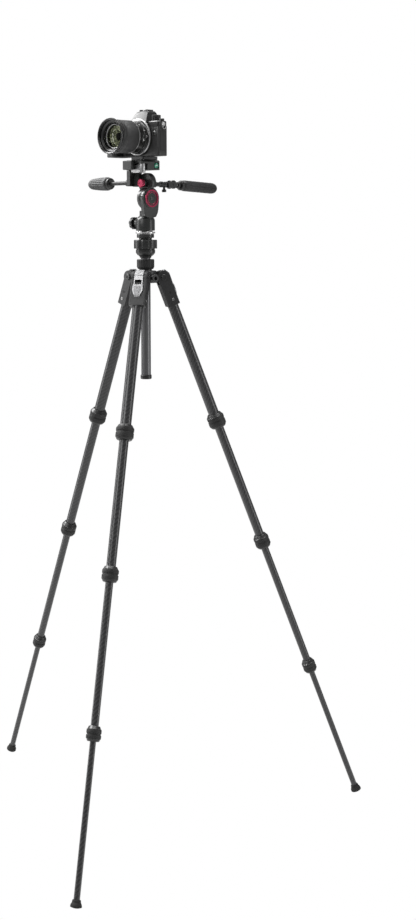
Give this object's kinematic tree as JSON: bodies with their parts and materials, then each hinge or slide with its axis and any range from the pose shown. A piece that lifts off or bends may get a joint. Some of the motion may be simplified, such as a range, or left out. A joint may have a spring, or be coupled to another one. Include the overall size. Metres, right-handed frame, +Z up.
{
  "type": "camera on tripod",
  "caption": "Interchangeable-lens camera on a travel tripod with telescoping twist-lock legs, levelling centre column and a three-way head with folding handles.",
  "frame": {"origin": "centre of the base rectangle of the standing object, on the floor under the feet", "axes": "+Z up along the centre column; the lens points along -Y, the user stands at +Y, the tilt axis is along X and the side leg points along -X"},
  "size_m": [0.6986, 0.8034, 1.4366],
  "materials": {
    "carbon_tube": "satin woven carbon",
    "black_casting": "fine textured black paint",
    "silver_metal": "bead-blasted silver",
    "lock_rubber": "matte ribbed rubber",
    "foot_rubber": "matte rubber",
    "black_column": "satin black anodised",
    "black_plastic": "matte moulded plastic",
    "bolt_steel": "black oxide",
    "red_anodised": "red anodised",
    "grip_rubber": "soft grey-black rubber",
    "camera_black": "textured black",
    "lens_black": "satin black",
    "zoom_rubber": "fine ribbed rubber",
    "lens_glass": "coated glass"
  },
  "bodies": {
    "tripod_spider": {"spider": "black_casting", "leg_pivot_bolts": "bolt_steel"},
    "front_leg": {"front_leg_casting": "black_casting", "front_leg_tube_1": "carbon_tube"},
    "front_leg_tab": {"front_leg_angle_tab": "silver_metal"},
    "front_leg_lock_1_ring": {"front_leg_lock_1": "lock_rubber"},
    "front_leg_section_2": {"front_leg_tube_2": "carbon_tube"},
    "front_leg_lock_2_ring": {"front_leg_lock_2": "lock_rubber"},
    "front_leg_section_3": {"front_leg_tube_3": "carbon_tube"},
    "front_leg_lock_3_ring": {"front_leg_lock_3": "lock_rubber"},
    "front_leg_section_4": {"front_leg_tube_4": "carbon_tube", "front_leg_foot": "foot_rubber"},
    "rear_leg": {"rear_leg_casting": "black_casting", "rear_leg_tube_1": "carbon_tube"},
    "rear_leg_tab": {"rear_leg_angle_tab": "silver_metal"},
    "rear_leg_lock_1_ring": {"rear_leg_lock_1": "lock_rubber"},
    "rear_leg_section_2": {"rear_leg_tube_2": "carbon_tube"},
    "rear_leg_lock_2_ring": {"rear_leg_lock_2": "lock_rubber"},
    "rear_leg_section_3": {"rear_leg_tube_3": "carbon_tube"},
    "rear_leg_lock_3_ring": {"rear_leg_lock_3": "lock_rubber"},
    "rear_leg_section_4": {"rear_leg_tube_4": "carbon_tube", "rear_leg_foot": "foot_rubber"},
    "side_leg": {"side_leg_casting": "black_casting", "side_leg_tube_1": "carbon_tube"},
    "side_leg_tab": {"side_leg_angle_tab": "silver_metal"},
    "side_leg_lock_1_ring": {"side_leg_lock_1": "lock_rubber"},
    "side_leg_section_2": {"side_leg_tube_2": "carbon_tube"},
    "side_leg_lock_2_ring": {"side_leg_lock_2": "lock_rubber"},
    "side_leg_section_3": {"side_leg_tube_3": "carbon_tube"},
    "side_leg_lock_3_ring": {"side_leg_lock_3": "lock_rubber"},
    "side_leg_section_4": {"side_leg_tube_4": "carbon_tube", "side_leg_foot": "foot_rubber"},
    "column": {"center_column": "black_column", "column_end_cap": "black_plastic", "level_cup": "black_casting"},
    "column_collar": {"column_lock_collar": "lock_rubber"},
    "levelling_ring": {"level_ring": "black_casting"},
    "level_base": {"level_ball": "black_casting", "pan_scale_ring": "silver_metal"},
    "pan_unit": {"pan_body": "black_casting", "tilt_cap": "red_anodised"},
    "pan_knob": {"pan_lock_knob": "black_plastic"},
    "tilt_unit": {"tilt_body": "black_casting", "tilt_bar": "black_plastic"},
    "roll_friction_knob": {"friction_knob": "red_anodised"},
    "roll_unit": {"plate_clamp": "black_casting", "side_bar": "black_plastic"},
    "side_handle": {"side_grip": "grip_rubber"},
    "folding_rod": {"tilt_rod": "black_plastic"},
    "tilt_handle": {"tilt_grip": "grip_rubber"},
    "release_lever": {"clamp_lever": "silver_metal"},
    "camera": {"quick_plate": "black_casting", "camera_body": "camera_black", "top_cover": "camera_black", "lens_barrel": "lens_black", "front_glass": "lens_glass"},
    "zoom": {"zoom_ring": "zoom_rubber"},
    "focus": {"focus_ring": "lens_black"},
    "shutter": {"shutter_button": "camera_black"},
    "mode": {"mode_dial": "black_plastic"}
  },
  "joints": [
    {"name": "front_leg_fold", "type": "hinge", "parent": "tripod_spider", "child": "front_leg", "pos_m": [0.13028, -0.03022, 1.093], "axis": [-0.866, -0.5, 0], "range_deg": [-20.9, 0]},
    {"name": "front_leg_angle_tab_pull", "type": "slide", "parent": "front_leg", "child": "front_leg_tab", "axis": [0.4669, -0.8087, 0.3579], "range_m": [0, 0.004], "stiffness_N_per_m": 400, "springref_m": -0.001},
    {"name": "front_leg_lock_1_twist", "type": "hinge", "parent": "front_leg", "child": "front_leg_lock_1_ring", "pos_m": [0.18739, -0.12915, 0.79494], "axis": [0.1789, -0.3099, -0.9338], "range_deg": [0, 90]},
    {"name": "front_leg_slide_2", "type": "slide", "parent": "front_leg", "child": "front_leg_section_2", "axis": [0.1789, -0.3099, -0.9338], "range_m": [-0.24, 0]},
    {"name": "front_leg_lock_2_twist", "type": "hinge", "parent": "front_leg_section_2", "child": "front_leg_lock_2_ring", "pos_m": [0.23617, -0.21364, 0.5404], "axis": [0.1789, -0.3099, -0.9338], "range_deg": [0, 90]},
    {"name": "front_leg_slide_3", "type": "slide", "parent": "front_leg_section_2", "child": "front_leg_section_3", "axis": [0.1789, -0.3099, -0.9338], "range_m": [-0.255, 0]},
    {"name": "front_leg_lock_3_twist", "type": "hinge", "parent": "front_leg_section_3", "child": "front_leg_lock_3_ring", "pos_m": [0.28733, -0.30225, 0.27343], "axis": [0.1789, -0.3099, -0.9338], "range_deg": [0, 90]},
    {"name": "front_leg_slide_4", "type": "slide", "parent": "front_leg_section_3", "child": "front_leg_section_4", "axis": [0.1789, -0.3099, -0.9338], "range_m": [-0.262, 0]},
    {"name": "rear_leg_fold", "type": "hinge", "parent": "tripod_spider", "child": "rear_leg", "pos_m": [0.13028, 0.03022, 1.093], "axis": [0.866, -0.5, 0], "range_deg": [-20.9, 0]},
    {"name": "rear_leg_angle_tab_pull", "type": "slide", "parent": "rear_leg", "child": "rear_leg_tab", "axis": [0.4669, 0.8087, 0.3579], "range_m": [0, 0.004], "stiffness_N_per_m": 400, "springref_m": -0.001},
    {"name": "rear_leg_lock_1_twist", "type": "hinge", "parent": "rear_leg", "child": "rear_leg_lock_1_ring", "pos_m": [0.18739, 0.12915, 0.79494], "axis": [0.1789, 0.3099, -0.9338], "range_deg": [0, 90]},
    {"name": "rear_leg_slide_2", "type": "slide", "parent": "rear_leg", "child": "rear_leg_section_2", "axis": [0.1789, 0.3099, -0.9338], "range_m": [-0.24, 0]},
    {"name": "rear_leg_lock_2_twist", "type": "hinge", "parent": "rear_leg_section_2", "child": "rear_leg_lock_2_ring", "pos_m": [0.23617, 0.21364, 0.5404], "axis": [0.1789, 0.3099, -0.9338], "range_deg": [0, 90]},
    {"name": "rear_leg_slide_3", "type": "slide", "parent": "rear_leg_section_2", "child": "rear_leg_section_3", "axis": [0.1789, 0.3099, -0.9338], "range_m": [-0.255, 0]},
    {"name": "rear_leg_lock_3_twist", "type": "hinge", "parent": "rear_leg_section_3", "child": "rear_leg_lock_3_ring", "pos_m": [0.28733, 0.30225, 0.27343], "axis": [0.1789, 0.3099, -0.9338], "range_deg": [0, 90]},
    {"name": "rear_leg_slide_4", "type": "slide", "parent": "rear_leg_section_3", "child": "rear_leg_section_4", "axis": [0.1789, 0.3099, -0.9338], "range_m": [-0.262, 0]},
    {"name": "side_leg_fold", "type": "hinge", "parent": "tripod_spider", "child": "side_leg", "pos_m": [0.07793, 0, 1.093], "axis": [0, 1, 0], "range_deg": [-20.9, 0]},
    {"name": "side_leg_angle_tab_pull", "type": "slide", "parent": "side_leg", "child": "side_leg_tab", "axis": [-0.9338, 0, 0.3579], "range_m": [0, 0.004], "stiffness_N_per_m": 400, "springref_m": -0.001},
    {"name": "side_leg_lock_1_twist", "type": "hinge", "parent": "side_leg", "child": "side_leg_lock_1_ring", "pos_m": [-0.03631, 0, 0.79494], "axis": [-0.3579, 0, -0.9338], "range_deg": [0, 90]},
    {"name": "side_leg_slide_2", "type": "slide", "parent": "side_leg", "child": "side_leg_section_2", "axis": [-0.3579, 0, -0.9338], "range_m": [-0.24, 0]},
    {"name": "side_leg_lock_2_twist", "type": "hinge", "parent": "side_leg_section_2", "child": "side_leg_lock_2_ring", "pos_m": [-0.13387, 0, 0.5404], "axis": [-0.3579, 0, -0.9338], "range_deg": [0, 90]},
    {"name": "side_leg_slide_3", "type": "slide", "parent": "side_leg_section_2", "child": "side_leg_section_3", "axis": [-0.3579, 0, -0.9338], "range_m": [-0.255, 0]},
    {"name": "side_leg_lock_3_twist", "type": "hinge", "parent": "side_leg_section_3", "child": "side_leg_lock_3_ring", "pos_m": [-0.23618, 0, 0.27343], "axis": [-0.3579, 0, -0.9338], "range_deg": [0, 90]},
    {"name": "side_leg_slide_4", "type": "slide", "parent": "side_leg_section_3", "child": "side_leg_section_4", "axis": [-0.3579, 0, -0.9338], "range_m": [-0.262, 0]},
    {"name": "column_collar_twist", "type": "hinge", "parent": "tripod_spider", "child": "column_collar", "pos_m": [0.11283, 0, 1.12], "axis": [0, 0, 1], "range_deg": [0, 90]},
    {"name": "column_raise", "type": "slide", "parent": "tripod_spider", "child": "column", "axis": [0, 0, 1], "range_m": [0, 0.18]},
    {"name": "levelling_ring_twist", "type": "hinge", "parent": "column", "child": "levelling_ring", "pos_m": [0.11283, 0, 1.16], "axis": [0, 0, 1], "range_deg": [0, 60]},
    {"name": "level_tilt", "type": "hinge", "parent": "column", "child": "level_base", "pos_m": [0.11283, 0, 1.16], "axis": [1, 0, 0], "range_deg": [-8, 8]},
    {"name": "pan", "type": "hinge", "parent": "level_base", "child": "pan_unit", "pos_m": [0.11283, 0, 1.195], "axis": [0, 0, 1], "continuous": true},
    {"name": "pan_knob_twist", "type": "hinge", "parent": "pan_unit", "child": "pan_knob", "pos_m": [0.08283, 0, 1.204], "axis": [-1, 0, 0], "range_deg": [0, 270]},
    {"name": "tilt", "type": "hinge", "parent": "pan_unit", "child": "tilt_unit", "pos_m": [0.11683, 0, 1.2546], "axis": [1, 0, 0], "range_deg": [-30, 90]},
    {"name": "roll_friction_knob_twist", "type": "hinge", "parent": "tilt_unit", "child": "roll_friction_knob", "pos_m": [0.11483, -0.01, 1.286], "axis": [0, -1, 0], "range_deg": [0, 270]},
    {"name": "roll", "type": "hinge", "parent": "tilt_unit", "child": "roll_unit", "pos_m": [0.11483, -0.006, 1.286], "axis": [0, 1, 0], "range_deg": [-25, 90]},
    {"name": "side_handle_twist", "type": "hinge", "parent": "roll_unit", "child": "side_handle", "pos_m": [0.01283, -0.016, 1.2865], "axis": [-1, 0, 0], "range_deg": [0, 90]},
    {"name": "tilt_handle_fold", "type": "hinge", "parent": "tilt_unit", "child": "folding_rod", "pos_m": [0.11483, 0.073, 1.284], "axis": [1, 0, 0], "range_deg": [-55, 0]},
    {"name": "tilt_handle_twist", "type": "hinge", "parent": "folding_rod", "child": "tilt_handle", "pos_m": [0.11483, 0.15288, 1.27972], "axis": [0, 0.9986, -0.0536], "range_deg": [0, 90]},
    {"name": "release_lever_swing", "type": "hinge", "parent": "roll_unit", "child": "release_lever", "pos_m": [0.12783, -0.0226, 1.316], "axis": [0, 0, 1], "range_deg": [0, 100]},
    {"name": "camera_lift_off", "type": "slide", "parent": "roll_unit", "child": "camera", "axis": [0, 0, 1], "range_m": [0, 0.03]},
    {"name": "zoom_turn", "type": "hinge", "parent": "camera", "child": "zoom", "pos_m": [0.11283, -0.062, 1.3795], "axis": [0, -1, 0], "range_deg": [0, 80]},
    {"name": "focus_turn", "type": "hinge", "parent": "camera", "child": "focus", "pos_m": [0.11283, -0.084, 1.3795], "axis": [0, -1, 0], "range_deg": [-90, 90]},
    {"name": "shutter_press", "type": "slide", "parent": "camera", "child": "shutter", "axis": [0, 0, -1], "range_m": [0, 0.0012], "stiffness_N_per_m": 300, "springref_m": -0.0005},
    {"name": "mode_dial_turn", "type": "hinge", "parent": "camera", "child": "mode", "pos_m": [0.14783, -0.002, 1.418], "axis": [0, 0, 1], "continuous": true}
  ]
}
